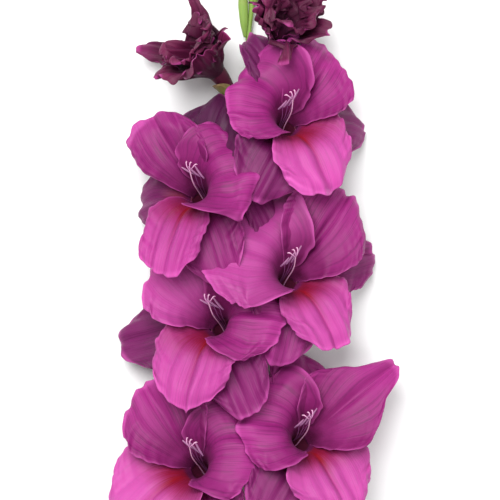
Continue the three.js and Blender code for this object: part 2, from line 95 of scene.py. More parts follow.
# A floret's six tepals. phi is the bearing round the mouth, clockwise from the tip of the spike
# as seen from above. lean holds the angle between the floret's axis and the tepal at its foot,
# at a quarter and at 0.55 of its length, and at its tip.
LEAN_KNOTS = (0, 0.25, 0.55, 1)
WIDEST_AT = 0.6
FUNNEL_LENGTH = 74  # the lean's first three knots are shares of this, so that a floret's funnel is even
LAST_KNOT = 0.85  # the third knot's place goes no higher than this

TEPAL_FORM = {
    "top": dict(phi=0, outer=True, length=76, width=62, lean=(16, 42, 80, 105), deep=0.35),
    "upper_right": dict(phi=62, outer=False, length=74, width=74, lean=(14, 34, 60, 84), deep=0.15),
    "lower_right": dict(phi=120, outer=True, length=66, width=56, lean=(26, 64, 104, 112), deep=0.3),
    "lip": dict(phi=180, outer=False, length=64, width=70, lean=(24, 56, 86, 108), share=1.4, front=3,
                pale_and_lit=0.4, pleat=2.3, crease=2.2),
    "lower_left": dict(phi=240, outer=True, length=66, width=56, lean=(26, 64, 104, 112), deep=0.3),
    "upper_left": dict(phi=298, outer=False, length=74, width=74, lean=(14, 34, 60, 84), deep=0.15),
}

TEPAL_DEFAULTS = dict(
    tip_width=0.86,  # width of the tip, as a share of the widest part
    shoulder=0.34,  # how far the tip's corners fall back, as a share of the length
    skew=0,  # how much longer the right edge is than the left one
    share=0.9,  # how much of its third of the funnel it fills: over 1, it overlaps its neighbours
    lop=0,  # how much wider the right side is than the left one, as seen from the foot
    front=0,  # how far it lies in front of its neighbours
    cup=0,  # extra curl of the sides, towards the viewer if positive, in 1/m
    droop=0,  # how much further the tip leans back, in degrees
    crease=1.4,  # depth of the fold along the midrib
    pleat=1.5,  # height of the lengthwise folds
    ruffle=2.0,  # height of the waves along the rim
    rollback=3.0,  # how far the rim rolls back
    deep=0,  # how much darker and more purple it is, 0 to 1: mostly painted shade where a tepal lies behind others or turns from the light, partly its own more purple tone
    pale_and_lit=0,  # how much lighter and pinker it is, 0 to 1: painted light where a tepal faces the lamp, partly its own pinker tone
)

LAID = dict(droop=34)  # a tepal that reaches back to the surface the spike lies on

# node and side say where a floret grows on the stem. mouth is the place of its mouth from that node,
# and yaw, pitch and roll turn it, in degrees.
FLORETS = [
    dict(
        name="floret_1", node=5, side=1, mouth=(25, 42, 26), yaw=18, pitch=24, roll=-30,
        tepals=dict(
            top=dict(phi=8, length=76, width=50, lop=0.25, deep=0.7),
            upper_right=dict(phi=64, length=64, width=80, skew=-0.16, shoulder=0.22),
            lower_right=dict(phi=116, length=70, droop=18, deep=0.5),
            lip=dict(phi=191, length=66, width=68, skew=0.1),
            lower_left=dict(phi=240, length=68, width=62, deep=0.5),
            upper_left=dict(phi=314, length=60, width=92, lean=(14, 34, 98, 130),
                            share=1.4, lop=0.25, ruffle=2.4, pleat=2.4),
        ),
    ),
    dict(
        name="floret_2", node=4, side=-1, mouth=(-35, 42, 26), yaw=-20, pitch=24, roll=15,
        tepals=dict(
            top=dict(phi=358, length=82, deep=0.9),
            upper_right=dict(phi=56, length=58, width=94, lean=(14, 34, 98, 124),
                             share=1.4, front=2, ruffle=2.4, pleat=2.2),
            lower_right=dict(phi=142, length=74, ruffle=2.6),
            lip=dict(phi=175, length=72, width=50, shoulder=0.2, share=1.2, pale_and_lit=0.2, pleat=2.6),
            lower_left=dict(phi=250, length=56, deep=0.5, **LAID),
            upper_left=dict(phi=312, length=70, width=62, skew=-0.1, shoulder=0.22, deep=0.3, cup=9),
        ),
    ),
    dict(
        name="floret_3", node=3, side=1, mouth=(26, 32, 26), yaw=20, pitch=24, roll=-30,
        tepals=dict(
            top=dict(phi=8, width=50, lop=0.25, deep=0.5),
            upper_right=dict(phi=68, length=80, width=80, skew=-0.06, crease=2.6, deep=0.2),
            lower_right=dict(phi=102, length=75, lean=(26, 60, 100, 102), deep=0.4),
            lip=dict(phi=188, length=66, width=60, pleat=2.6, pale_and_lit=0.35),
            lower_left=dict(phi=226, length=68, deep=0.3),
            upper_left=dict(phi=322, length=82, width=104, lean=(14, 34, 96, 116),
                            share=1.35, lop=0.1, pleat=2.2, pale_and_lit=0.3),
        ),
    ),
    dict(
        name="floret_4", node=2, side=-1, mouth=(-20, 50, 26), yaw=-22, pitch=24, roll=10,
        tepals=dict(
            top=dict(phi=8, length=72, width=50, lop=-0.25, deep=0.4),
            upper_right=dict(phi=76, length=66, width=90, lean=(14, 34, 98, 122),
                             share=1.3, lop=-0.1, front=1.5, ruffle=2.6, pleat=2.4),
            lower_right=dict(phi=142, length=76, deep=0.4, ruffle=2.4),
            lip=dict(phi=180, length=72, width=68, lop=0.04, pleat=3.0, crease=2.8, pale_and_lit=0.3),
            lower_left=dict(phi=250, length=80, width=64, lean=(26, 60, 100, 104), deep=0.6),
            upper_left=dict(phi=304, length=68, width=80, pale_and_lit=0.35),
        ),
    ),
    dict(
        name="floret_5", node=1, side=1, mouth=(36, 18, 26), yaw=20, pitch=24, roll=-25,
        tepals=dict(
            top=dict(phi=14, width=50, lop=0.25, deep=0.2),
            upper_right=dict(phi=82, length=92, width=84, shoulder=0.5, tip_width=0.5, crease=2.6,
                             ruffle=1.2),
            lower_right=dict(phi=126, length=60, deep=0.3, **LAID),
            lip=dict(phi=188, length=68, width=72, pale_and_lit=0.4),
            lower_left=dict(phi=238, length=74, width=60, deep=0.4),
            upper_left=dict(phi=310, length=64, width=90, lean=(14, 34, 98, 130),
                            share=1.3, lop=0.1, pleat=2.0),
        ),
    ),
    dict(
        name="floret_6", node=0, side=-1, mouth=(-36, 50, 26), yaw=-20, pitch=24, roll=22,
        tepals=dict(
            top=dict(phi=0, width=50, lop=-0.25, deep=0.3),
            upper_right=dict(phi=60, length=60, width=84, lean=(14, 34, 98, 128), share=1.3, lop=-0.1),
            lower_right=dict(phi=130, length=70),
            lip=dict(phi=198, length=74, width=86, pale_and_lit=0.55),
            lower_left=dict(phi=250, deep=0.4, **LAID),
            upper_left=dict(phi=302, length=74, width=78, deep=0.2),
        ),
    ),
]

OPENING_FLORETS = [
    dict(name="opening_floret_1", node=6, side=-1, mouth=(-24, 40, 24), yaw=-50, pitch=38, roll=-30),
    dict(name="opening_floret_2", node=7, side=1, mouth=(19, 27, 26), yaw=20, pitch=36, roll=0),
]

# spread is how far a bud's tip stands off the stem
BUDS = [
    dict(name="bud_1", node=8, side=-1, length=48, radius=4, spread=2),
    dict(name="bud_2", node=9, side=1, length=43, radius=4.6, spread=6),
    dict(name="bud_3", node=10, side=-1, length=36, radius=4.3, spread=6.5),
    dict(name="bud_4", node=11, side=1, length=29, radius=3.6, spread=5),
    dict(name="bud_5", node=12, side=-1, length=23, radius=3, spread=3.6),
]

# foot is the height above the cut end
LEAVES = [
    dict(name="leaf_1", side=-1, foot=36, length=170),
    dict(name="leaf_2", side=1, foot=96, length=118),
]

# ---------------------------------------------------------------- places


def spike_origin():
    """Where the spike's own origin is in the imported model's frame, from the cut end of the stem."""
    stem = np.array([v.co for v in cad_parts["stem"].data.vertices])
    cut = stem[stem[:, 1] < stem[:, 1].min() + 0.01 * MM]
    x, y, z = (cut.min(0) + cut.max(0)) / 2
    return np.array([x, y - (FIRST_NODE - FOOT_LENGTH) * MM, z])


ORIGIN = spike_origin()
REST_GAP = 0.3 * MM  # nothing comes nearer to the surface below than this


def placed(points):
    """Points in the spike's frame, in mm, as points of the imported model's frame, in metres."""
    moved = np.asarray(points, float) * MM + ORIGIN
    moved[..., 2] = np.maximum(moved[..., 2], REST_GAP)
    return moved


def smooth(low, high, x):
    share = np.clip((x - low) / (high - low), 0, 1)
    return share * share * (3 - 2 * share)


def unit(vectors):
    return vectors / np.maximum(np.linalg.norm(vectors, axis=-1, keepdims=True), 1e-9)


def stem_node(number):
    crowded = max(0, number - LAST_OPEN_NODE)
    crowded_length = INTERNODE * CROWDING * (1 - CROWDING**crowded) / (1 - CROWDING)
    y = FIRST_NODE + INTERNODE * min(number, LAST_OPEN_NODE) + crowded_length
    return np.array([STEM_ZIGZAG if number % 2 else -STEM_ZIGZAG, y, 0.0])


def stem_radius(y):
    foot, head = FIRST_NODE - FOOT_LENGTH, stem_node(LAST_NODE)[1] + HEAD_LENGTH
    return np.interp(y, (foot, head), (STEM_FOOT_RADIUS, STEM_TOP_RADIUS))


def floret_frame(floret):
    """(axis, right, up, mouth): axis points out of the mouth and up towards the spike's tip."""
    yaw, pitch = math.radians(floret["yaw"]), math.radians(floret["pitch"])
    axis = np.array([math.sin(yaw) * math.cos(pitch), math.sin(pitch), math.cos(yaw) * math.cos(pitch)])
    right = unit(np.cross((0, 1, 0), axis))
    return axis, right, np.cross(axis, right), stem_node(floret["node"]) + floret["mouth"]


def floret_point(floret, dorsal, sideways, along):
    """A point of the floret: dorsal is towards its top tepal and along is out of its mouth."""
    axis, right, up, mouth = floret_frame(floret)
    roll = math.radians(floret["roll"])
    return (
        mouth
        + up * (dorsal * math.cos(roll) - sideways * math.sin(roll))
        + right * (dorsal * math.sin(roll) + sideways * math.cos(roll))
        + axis * along
    )


def tube_points(floret, count):
    """The middle line of the perianth tube, from the stem to the mouth."""
    axis, _, _, mouth = floret_frame(floret)
    node = stem_node(floret["node"])
    off = 0.75 * (stem_radius(node[1]) + OVARY_RADIUS)  # it grows out of the side of the stem
    start = node + (floret["side"] * off, 0, off)
    handle = 0.45 * np.linalg.norm(mouth - start)
    leave = unit(np.array([floret["side"] * 0.35, 0.8, 0.5]))  # it hugs the stem at first
    a, b, c, d = start, start + leave * handle, mouth - axis * handle, mouth
    t = np.linspace(0, 1, count)[:, None]
    return a * (1 - t) ** 3 + 3 * b * t * (1 - t) ** 2 + 3 * c * t * t * (1 - t) + d * t**3


# ---------------------------------------------------------------- materials


def linear(hex_colour):
    """An sRGB hex value as a linear RGBA colour."""
    channels = [int(hex_colour[k : k + 2], 16) / 255 for k in (1, 3, 5)]
    return tuple(c / 12.92 if c <= 0.04045 else ((c + 0.055) / 1.055) ** 2.4 for c in channels) + (1.0,)


def add(tree, kind, inputs=None, stops=(), **settings):
    """Adds a node with its settings. inputs gives each socket, by name or number, a value, the socket
    that feeds it or the node whose first output does. stops are a colour ramp's places and hex colours."""
    made = tree.nodes.new(kind)
    for name, value in settings.items():
        setattr(made, name, value)
    for k, (place, colour) in enumerate(stops):
        elements = made.color_ramp.elements
        stop = elements[k] if k < 2 else elements.new(place)
        stop.position, stop.color = place, linear(colour)
    for name, value in (inputs or {}).items():
        source = value.outputs[0] if isinstance(value, bpy.types.Node) else value
        if isinstance(source, bpy.types.NodeSocket):
            tree.links.new(source, made.inputs[name])
        else:
            made.inputs[name].default_value = source
    return made


def new_material(name, viewport):
    made = bpy.data.materials.new(name)
    made.use_nodes = True
    made.diffuse_color = linear(viewport)
    tree = made.node_tree
    tree.nodes.clear()
    return made, tree


def start_skin(name, viewport):
    """A plant's skin to build on: its UV, the way along the piece and the place on it."""
    made, tree = new_material(name, viewport)
    uv = add(tree, "ShaderNodeUVMap", uv_map="UVMap")
    along = add(tree, "ShaderNodeSeparateXYZ", {0: uv}).outputs["Y"]
    return made, tree, uv, along, add(tree, "ShaderNodeTexCoord").outputs["Object"]


def finish_material(tree, colour, relief, relief_mm, roughness, **constants):
    """Ends a material in a shader with a relief. constants are the shader's own values."""
    bump = add(tree, "ShaderNodeBump", {"Height": relief, "Strength": 1.0, "Distance": relief_mm * MM})
    shader = add(tree, "ShaderNodeBsdfPrincipled",
                 {"Base Color": colour, "Roughness": roughness, "Normal": bump})
    for name, value in constants.items():
        shader.inputs[name.replace("_", " ")].default_value = value
    add(tree, "ShaderNodeOutputMaterial", {"Surface": shader})


def cycles(sheet_mm, pattern_mm):
    """A pattern's scale on a UV that runs once over a sheet, from the width and length of both."""
    return sheet_mm[0] / pattern_mm[0], sheet_mm[1] / pattern_mm[1], 1


# In the materials below, a Map Range node's sockets 1 to 4 are the range it takes in and the range it
# gives out, and a Mix node's 0, 6 and 7 are its factor and its two colours.

TEPAL_SHEET = (78, 72)  # a typical tepal, in mm
TEPAL_VEINS = (1.0, 60)  # the real veins are about half as far apart, too fine to show
TEPAL_BANDS = (4.875, 45)  # broad bands of tone along the tepal
TEPAL_PATCH = 18  # paler patches
TEPAL_CELL = 0.5  # the real cells are about a tenth of this, too fine to show


# Tepal tissue: thin, watery sheets grown from small velvety cells. The cells scatter the light, so the
# eye sees a broad, low gloss and a saturated colour, with veins that fan out from the foot to the rim.
def tepal_material(name, throat, foot, body, rim, vein, deep, flame, lit):
    """The piece's own tone says where it is deep, which is painted shade with some of its own more purple
    colour, where it has the flame, and where it is lit, which is painted light and painted highlights.
    """
    made, tree, uv, along, place = start_skin(name, body)
    tone = add(tree, "ShaderNodeAttribute", attribute_name="tone").outputs["Color"]
    shade_and_purple_share, flame_share, lit_share = add(tree, "ShaderNodeSeparateColor", {0: tone}).outputs

    bands = add(tree, "ShaderNodeMapping", {"Vector": uv, "Scale": cycles(TEPAL_SHEET, TEPAL_BANDS)})
    bands = add(tree, "ShaderNodeTexNoise", {"Vector": bands, "Scale": 1.0, "Detail": 2.0})
    veins = add(tree, "ShaderNodeMapping", {"Vector": uv, "Scale": cycles(TEPAL_SHEET, TEPAL_VEINS)})
    veins = add(tree, "ShaderNodeTexNoise", {"Vector": veins, "Scale": 1.0, "Detail": 3.0})
    patch = add(tree, "ShaderNodeTexNoise", {"Vector": place, "Scale": 1 / (TEPAL_PATCH * MM), "Detail": 3.0})
    cells = add(tree, "ShaderNodeTexNoise", {"Vector": place, "Scale": 1 / (TEPAL_CELL * MM), "Detail": 2.0})

    centred = add(tree, "ShaderNodeMath", {0: bands, 1: 0.5}, operation="SUBTRACT")
    reach = add(tree, "ShaderNodeMath", {0: centred, 1: 0.16, 2: along}, operation="MULTIPLY_ADD")
    vein_line = add(tree, "ShaderNodeMapRange", {0: veins, 1: 0.5, 2: 0.62, 3: 0.0, 4: 0.5})
    light_patch = add(tree, "ShaderNodeMapRange", {0: patch, 1: 0.35, 2: 0.7, 3: 0.0, 4: 0.3})
    streak = add(tree, "ShaderNodeMapRange", {0: veins, 1: 0.4, 2: 0.6, 3: 0.72, 4: 1.0})
    streaked = add(tree, "ShaderNodeMath", {0: flame_share, 1: streak}, operation="MULTIPLY")
    # the ramp runs from the throat to the tip: its darkening towards the foot is partly the tepal's own
    # colour and partly painted shade of the deep funnel
    colour = add(tree, "ShaderNodeValToRGB", {"Fac": reach},
                 stops=((0.06, throat), (0.22, foot), (0.46, body), (1.0, rim)))
    # on the ramp go the tepal's own veins, paler patches and flame, the deep colour, mostly painted shade,
    # and the lit colour, painted light and painted highlights
    for share, over in ((vein_line, vein), (light_patch, rim), (shade_and_purple_share, deep), (lit_share, lit),
                        (streaked, flame)):
        mixed = add(tree, "ShaderNodeMix", {0: share, 6: colour, 7: linear(over)}, data_type="RGBA")
        colour = mixed.outputs[2]

    relief = add(tree, "ShaderNodeMath", {0: veins, 1: 0.7}, operation="MULTIPLY")
    for noise, height in ((bands, 0.5), (cells, 0.18)):
        relief = add(tree, "ShaderNodeMath", {0: noise, 1: height, 2: relief}, operation="MULTIPLY_ADD")
    rough = add(tree, "ShaderNodeMapRange", {0: patch, 1: 0.3, 2: 0.7, 3: 0.46, 4: 0.6})
    finish_material(tree, colour, relief, 0.5, rough, IOR=1.38, Specular_IOR_Level=0.38,
                    Sheen_Weight=0.04, Sheen_Roughness=0.45, Sheen_Tint=linear("#E890D8"),
                    Subsurface_Weight=0.1, Subsurface_Radius=(0.9, 0.3, 0.5), Subsurface_Scale=1.2 * MM)
    return made


GREEN_PATCH = 14  # lighter and darker patches
GREEN_GRAIN = 0.7  # the real cells are about a tenth of this, too fine to show


# Green tissue: a waxy skin grown over parallel fibres. The wax gives the eye a tighter gloss than a
# tepal's, and the fibres a fine ribbing along the length.
def green_material(name, foot, body, tip, rib, sheet_mm, rib_mm, roughness):
    made, tree, uv, along, place = start_skin(name, body)
    ribs = add(tree, "ShaderNodeMapping", {"Vector": uv, "Scale": cycles(sheet_mm, rib_mm)})
    ribs = add(tree, "ShaderNodeTexNoise", {"Vector": ribs, "Scale": 1.0, "Detail": 2.0})
    patch = add(tree, "ShaderNodeTexNoise", {"Vector": place, "Scale": 1 / (GREEN_PATCH * MM), "Detail": 4.0})
    grain = add(tree, "ShaderNodeTexNoise", {"Vector": place, "Scale": 1 / (GREEN_GRAIN * MM), "Detail": 2.0})
    centred = add(tree, "ShaderNodeMath", {0: patch, 1: 0.5}, operation="SUBTRACT")
    reach = add(tree, "ShaderNodeMath", {0: centred, 1: 0.3, 2: along}, operation="MULTIPLY_ADD")
    colour = add(tree, "ShaderNodeValToRGB", {"Fac": reach}, stops=((0.0, foot), (0.5, body), (1.0, tip)))
    line = add(tree, "ShaderNodeMapRange", {0: ribs, 1: 0.48, 2: 0.66, 3: 0.0, 4: 0.5})
    colour = add(tree, "ShaderNodeMix", {0: line, 6: colour, 7: linear(rib)}, data_type="RGBA").outputs[2]
    relief = add(tree, "ShaderNodeMath", {0: grain, 1: 0.2, 2: ribs}, operation="MULTIPLY_ADD")
    rough = add(tree, "ShaderNodeMapRange",
                {0: patch, 1: 0.3, 2: 0.7, 3: roughness - 0.06, 4: roughness + 0.08})
    finish_material(tree, colour, relief, 0.25, rough, IOR=1.42, Subsurface_Weight=0.06,
                    Subsurface_Radius=(0.4, 0.8, 0.2), Subsurface_Scale=1.0 * MM)
    return made


# Stamen, style and tube tissue: moist and fine-grained, grown in slender rods. The moisture gives the
# eye a small, soft highlight, and the grain faint spots of the colour at the tip.
def stalk_material(name, stops, grain_mm, roughness):
    tip = stops[-1][1]
    made, tree, _, along, place = start_skin(name, tip)
    grain = add(tree, "ShaderNodeTexNoise", {"Vector": place, "Scale": 1 / (grain_mm * MM), "Detail": 3.0})
    colour = add(tree, "ShaderNodeValToRGB", {"Fac": along}, stops=stops)
    spots = add(tree, "ShaderNodeMapRange", {0: grain, 1: 0.4, 2: 0.7, 3: 0.0, 4: 0.35})
    colour = add(tree, "ShaderNodeMix", {0: spots, 6: colour, 7: linear(tip)}, data_type="RGBA").outputs[2]
    finish_material(tree, colour, grain, 0.12, roughness, IOR=1.4, Subsurface_Weight=0.15,
                    Subsurface_Radius=(0.8, 0.4, 0.6), Subsurface_Scale=0.8 * MM)
    return made


# A fully open tepal: magenta, with a crimson flame. It is dark in the throat, partly its own colour and
# partly painted shade of the funnel, and lightest at the rim, partly its own paler edge and partly a painted
# highlight; deep is the dark purple of painted shade, and lit the pink of painted light.
TEPAL = tepal_material("fresh_magenta_tepal", throat="#4C0C30", foot="#6E1650", body="#861866", rim="#AC3088",
                       vein="#520840", deep="#36062E", flame="#80081C", lit="#D05AAE")
# A tepal that is still unfurling: nearly black plum, and only its crumpled edges catch a pink light.
PLUM = tepal_material("opening_plum_tepal", throat="#14040C", foot="#1E0512", body="#3C0A24", rim="#701A48",
                      vein="#1C0414", deep="#2C0820", flame="#5A1030", lit="#A43C80")
# Tube: smooth, green at the foot and wine red further up; its darkening to a deep wine red towards the mouth
# is painted shade of the hollow that one looks into.
TUBE = stalk_material("perianth_tube_skin", ((0.1, "#6F7A3C"), (0.4, "#7A2C58"), (0.62, "#4E122C")), 2.0, 0.5)
# Filament: a moist purple rod, paler towards the anther.
FILAMENT = stalk_material("filament_skin", ((0.0, "#4A1238"), (1.0, "#94508C")), 0.8, 0.42)
# Anther: dusty with pollen, so it is the dullest part of the floret.
ANTHER = stalk_material("anther_skin", ((0.0, "#74406C"), (1.0, "#A87098")), 0.5, 0.6)
# Style and stigma: pale, moist pink that stands out against the throat.
STIGMA = stalk_material("stigma_skin", ((0.0, "#A05490"), (1.0, "#E8B0D0")), 0.4, 0.45)
# Stem: round, waxy and evenly green, with ribs that run its whole length.
STEM_GREEN = green_material("gladiolus_stem_skin", "#7F9A45", "#6F9038", "#8AAA48", "#527028", (32, 690),
                            (0.8, 230), 0.42)
# Bract: leafy green that dries to a brownish tip. Its real ribs are about as fine as these.
BRACT_GREEN = green_material("bract_skin", "#88A048", "#6E9038", "#9A7A58", "#55742A", (18, 46), (0.3, 23),
                             0.45)
# Bud bract: the same tissue, younger and lighter, drying at the tip.
BUD_GREEN = green_material("bud_bract_skin", "#7E9C42", "#86A648", "#A08A58", "#5E7E30", (20, 36), (0.4, 18),
                           0.45)
# Leaf: darker and glossier than the bracts, with straight parallel veins.
LEAF_GREEN = green_material("leaf_skin", "#6E8E3C", "#4F7A2C", "#5E8430", "#3C6222", (21, 150), (0.3, 100),
                            0.4)

# ---------------------------------------------------------------- making and keeping pieces


def linked(name, data):
    piece = bpy.data.objects.new(name, data)
    bpy.context.scene.collection.objects.link(piece)
    return piece


def lay_uv(mesh, uv):
    """Gives each corner of the mesh its vertex's UV."""
    corners = np.empty(len(mesh.loops), int)
    mesh.loops.foreach_get("vertex_index", corners)
    mesh.uv_layers.new(name="UVMap").data.foreach_set("uv", np.asarray(uv, float)[corners].ravel())


def mesh_piece(name, vertices, faces, material, uv=None, tone=None):
    mesh = bpy.data.meshes.new(name)
    mesh.from_pydata(vertices, [], faces)
    if uv is not None:
        lay_uv(mesh, uv)
    if tone is not None:
        colours = mesh.color_attributes.new(name="tone", type="FLOAT_COLOR", domain="POINT")
        colours.data.foreach_set("color", np.asarray(tone, float).ravel())
    mesh.materials.append(material)
    mesh.shade_smooth()
    return linked(name, mesh)


def keep(piece, slot, *nodes):
    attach(piece, BODY)
    if nodes:
        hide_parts(*nodes)
    return piece


RIM_THICKNESS = 0.4  # a sheet's thickness at its rim, as a share of the rest
RIM_ROWS = 3  # rows over which a sheet thins towards its rim
FLOOR_BEND = 1.5  # how softly a sheet that comes down to the surface bends to lie on it
FLOOR_REACH = 6  # height from which a sheet keeps its own shape


def shell_piece(name, middle, thickness, uv, tone, material):
    """A closed thin shell about a grid of middle points, thinnest at its rim."""
    rows, columns = middle.shape[:2]
    normal = unit(np.cross(np.gradient(middle, axis=0), np.gradient(middle, axis=1)))
    i, j = np.meshgrid(np.arange(rows), np.arange(columns), indexing="ij")
    inset = np.minimum.reduce([i + rows * (i < rows / 2), rows - 1 - i, j, columns - 1 - j])
    half = (thickness / 2 * (RIM_THICKNESS + (1 - RIM_THICKNESS) * smooth(0, RIM_ROWS, inset)))[..., None]
    floor = (REST_GAP - ORIGIN[2]) / MM + thickness
    above = middle[..., 2] - floor
    bent = FLOOR_BEND * np.log1p(np.exp(np.minimum(above, FLOOR_REACH) / FLOOR_BEND))
    middle = middle.copy()
    middle[..., 2] = floor + np.where(above > FLOOR_REACH, above, bent)
    sides = [(middle + normal * half).reshape(-1, 3), (middle - normal * half).reshape(-1, 3)]

    index = np.arange(rows * columns).reshape(rows, columns)
    a, b, c, d = index[:-1, :-1], index[1:, :-1], index[1:, 1:], index[:-1, 1:]
    front_faces = np.stack([a, b, c, d], -1).reshape(-1, 4)
    back_faces = (front_faces + rows * columns)[:, ::-1]
    rim = np.concatenate([index[0, :-1], index[:-1, -1], index[-1, :0:-1], index[:0:-1, 0]])
    ahead = np.roll(rim, -1)
    rim_faces = np.stack([rim, ahead, ahead + rows * columns, rim + rows * columns], -1)
    faces = np.concatenate([front_faces, back_faces, rim_faces])
    uv, tone = (value if value is None else np.concatenate([value.reshape(rows * columns, -1)] * 2)
                for value in (uv, tone))
    return mesh_piece(name, placed(np.concatenate(sides)), faces, material, uv, tone)


# ---------------------------------------------------------------- stalks, by Geometry Nodes


def start_tree(name, *sizes):
    """A Geometry Nodes tree with its inputs: a geometry, sizes as (name, kind, value), and a skin."""
    tree = bpy.data.node_groups.new(name, "GeometryNodeTree")
    tree.interface.new_socket("Geometry", in_out="INPUT", socket_type="NodeSocketGeometry")
    for size, kind, value in sizes:
        tree.interface.new_socket(size, in_out="INPUT", socket_type=kind).default_value = value
    tree.interface.new_socket("Skin", in_out="INPUT", socket_type="NodeSocketMaterial")
    tree.interface.new_socket("Geometry", in_out="OUTPUT", socket_type="NodeSocketGeometry")
    return tree, add(tree, "NodeGroupInput").outputs


def end_tree(tree, shape, skin):
    real = add(tree, "GeometryNodeRealizeInstances", {0: shape})
    skinned = add(tree, "GeometryNodeSetMaterial", {"Geometry": real, "Material": skin})
    add(tree, "NodeGroupOutput", {0: skinned})
    return tree


def stalk_tree():
    """Sweeps a circle along a curve whose points carry the radius, and raises ridges along it."""
    tree, given = start_tree("ridged_stalk", ("Rings", "NodeSocketInt", 64), ("Sides", "NodeSocketInt", 16),
                             ("Ridges", "NodeSocketInt", 0), ("Ridge height", "NodeSocketFloat", 0.0))
    path = add(tree, "GeometryNodeResampleCurve", {"Curve": given["Geometry"], "Count": given["Rings"]})
    circle = add(tree, "GeometryNodeCurvePrimitiveCircle", {"Resolution": given["Sides"], "Radius": 1.0})
    path, circle = (
        add(tree, "GeometryNodeStoreNamedAttribute",
            {"Geometry": curve, "Name": name, 3: add(tree, "GeometryNodeSplineParameter").outputs["Factor"]},
            data_type="FLOAT", domain="POINT")
        for curve, name in ((path, "path_place"), (circle, "round_place"))
    )
    radius = add(tree, "GeometryNodeInputRadius")
    swept = add(tree, "GeometryNodeCurveToMesh",
                {"Curve": path, "Profile Curve": circle, "Scale": radius, "Fill Caps": True})
    turn = add(tree, "GeometryNodeInputNamedAttribute", {"Name": "round_place"}, data_type="FLOAT")
    whole_turns = add(tree, "ShaderNodeMath", {0: given["Ridges"], 1: 2 * math.pi}, operation="MULTIPLY")
    angle = add(tree, "ShaderNodeMath", {0: turn, 1: whole_turns}, operation="MULTIPLY")
    wave = add(tree, "ShaderNodeMath", {0: angle}, operation="SINE")
    height = add(tree, "ShaderNodeMath", {0: wave, 1: given["Ridge height"]}, operation="MULTIPLY")
    outwards = add(tree, "GeometryNodeInputNormal")
    offset = add(tree, "ShaderNodeVectorMath", {0: outwards, "Scale": height}, operation="SCALE")
    raised = add(tree, "GeometryNodeSetPosition", {"Geometry": swept, "Offset": offset})
    return end_tree(tree, raised, given["Skin"])


def grains_tree():
    """Scatters small round grains over a mesh and joins them to it."""
    tree, given = start_tree("scattered_grains", ("Density", "NodeSocketFloat", 1e6),
                             ("Grain radius", "NodeSocketFloat", 0.1 * MM), ("Seed", "NodeSocketInt", 1))
    points = add(tree, "GeometryNodeDistributePointsOnFaces",
                 {"Mesh": given["Geometry"], "Density": given["Density"], "Seed": given["Seed"]})
    grain = add(tree, "GeometryNodeMeshIcoSphere", {"Radius": given["Grain radius"], "Subdivisions": 1})
    strewn = add(tree, "GeometryNodeInstanceOnPoints", {"Points": points, "Instance": grain})
    joined = add(tree, "GeometryNodeJoinGeometry", {0: strewn})
    tree.links.new(given["Geometry"], joined.inputs[0])
    return end_tree(tree, joined, given["Skin"])


STALK_TREE = stalk_tree()
GRAINS_TREE = grains_tree()


def through_tree(source, tree, **sizes):
    """source's mesh once the tree has shaped it; source is removed."""
    modifier = source.modifiers.new("shape", "NODES")
    modifier.node_group = tree
    identifiers = {item.name: item.identifier for item in tree.interface.items_tree if item.in_out == "INPUT"}
    for name, value in sizes.items():
        modifier[identifiers[name.replace("_", " ")]] = value
    graph = bpy.context.evaluated_depsgraph_get()
    mesh = bpy.data.meshes.new_from_object(source.evaluated_get(graph))
    bpy.data.objects.remove(source)
    return mesh


def stalk_mesh(points, radii, material, rings=48, sides=12, ridges=0, ridge_height=0.0):
    """A stalk along points, in mm, with a radius at each, as a mesh with UVs round and along it."""
    curve = bpy.data.curves.new("path", "CURVE")
    curve.dimensions = "3D"
    spline = curve.splines.new("POLY")
    spline.points.add(len(points) - 1)
    for point, place, radius in zip(spline.points, placed(points), radii):
        point.co = (*place, 1.0)
        point.radius = radius * MM
    mesh = through_tree(linked("path", curve), STALK_TREE, Rings=rings, Sides=sides, Ridges=ridges,
                        Ridge_height=ridge_height * MM, Skin=material)
    uv = np.empty((2, len(mesh.vertices)))
    mesh.attributes["round_place"].data.foreach_get("value", uv[0])
    mesh.attributes["path_place"].data.foreach_get("value", uv[1])
    lay_uv(mesh, uv.T)
    mesh.shade_smooth()
    return mesh


def joined_piece(name, *meshes):
    """Several meshes as one piece."""
    parts = [linked(name, mesh) for mesh in meshes]
    with bpy.context.temp_override(active_object=parts[0], selected_editable_objects=parts, object=parts[0],
                                   selected_objects=parts):
        if len(parts) > 1:
            bpy.ops.object.join()
    parts[0].name = name
    return parts[0]


def curved(points, count):
    """A smooth line through a few points."""
    points = np.asarray(points, float)
    padded = np.concatenate([[2 * points[0] - points[1]], points, [2 * points[-1] - points[-2]]])
    out = []
    for place in np.linspace(0, len(points) - 1, count):
        k = min(int(place), len(points) - 2)
        t = place - k
        a, b, c, d = padded[k : k + 4]
        square, cube = 2 * a - 5 * b + 4 * c - d, 3 * b - a - 3 * c + d
        out.append(0.5 * (2 * b + (c - a) * t + square * t**2 + cube * t**3))
    return np.array(out)


# ---------------------------------------------------------------- tepals

LEAST_SLOPE = 0.85  # keeps a tepal that leans far out from reaching across the throat
OUTER_LEAN = 3  # degrees by which the outer tepals lean further, so that they stay behind the inner ones
OUTER_FOOT_GAP = 1.1  # how far outside the inner tepals the outer ones start
OUTER_GAP = 1.2  # how far behind the inner tepals the outer ones lie
TEPAL_ROWS = 70
TEPAL_COLUMNS = 61
MIDRIB_STEPS = 120
FOOT_OVERLAP = 0.05  # how far below the mouth a tepal starts, as a share of its length
FOOT_RISE = 0.3  # how far above the mouth the foot's own place is


def tepal_seed(floret, name):
    return sum(ord(c) * (k + 3) for k, c in enumerate(floret["name"] + name))


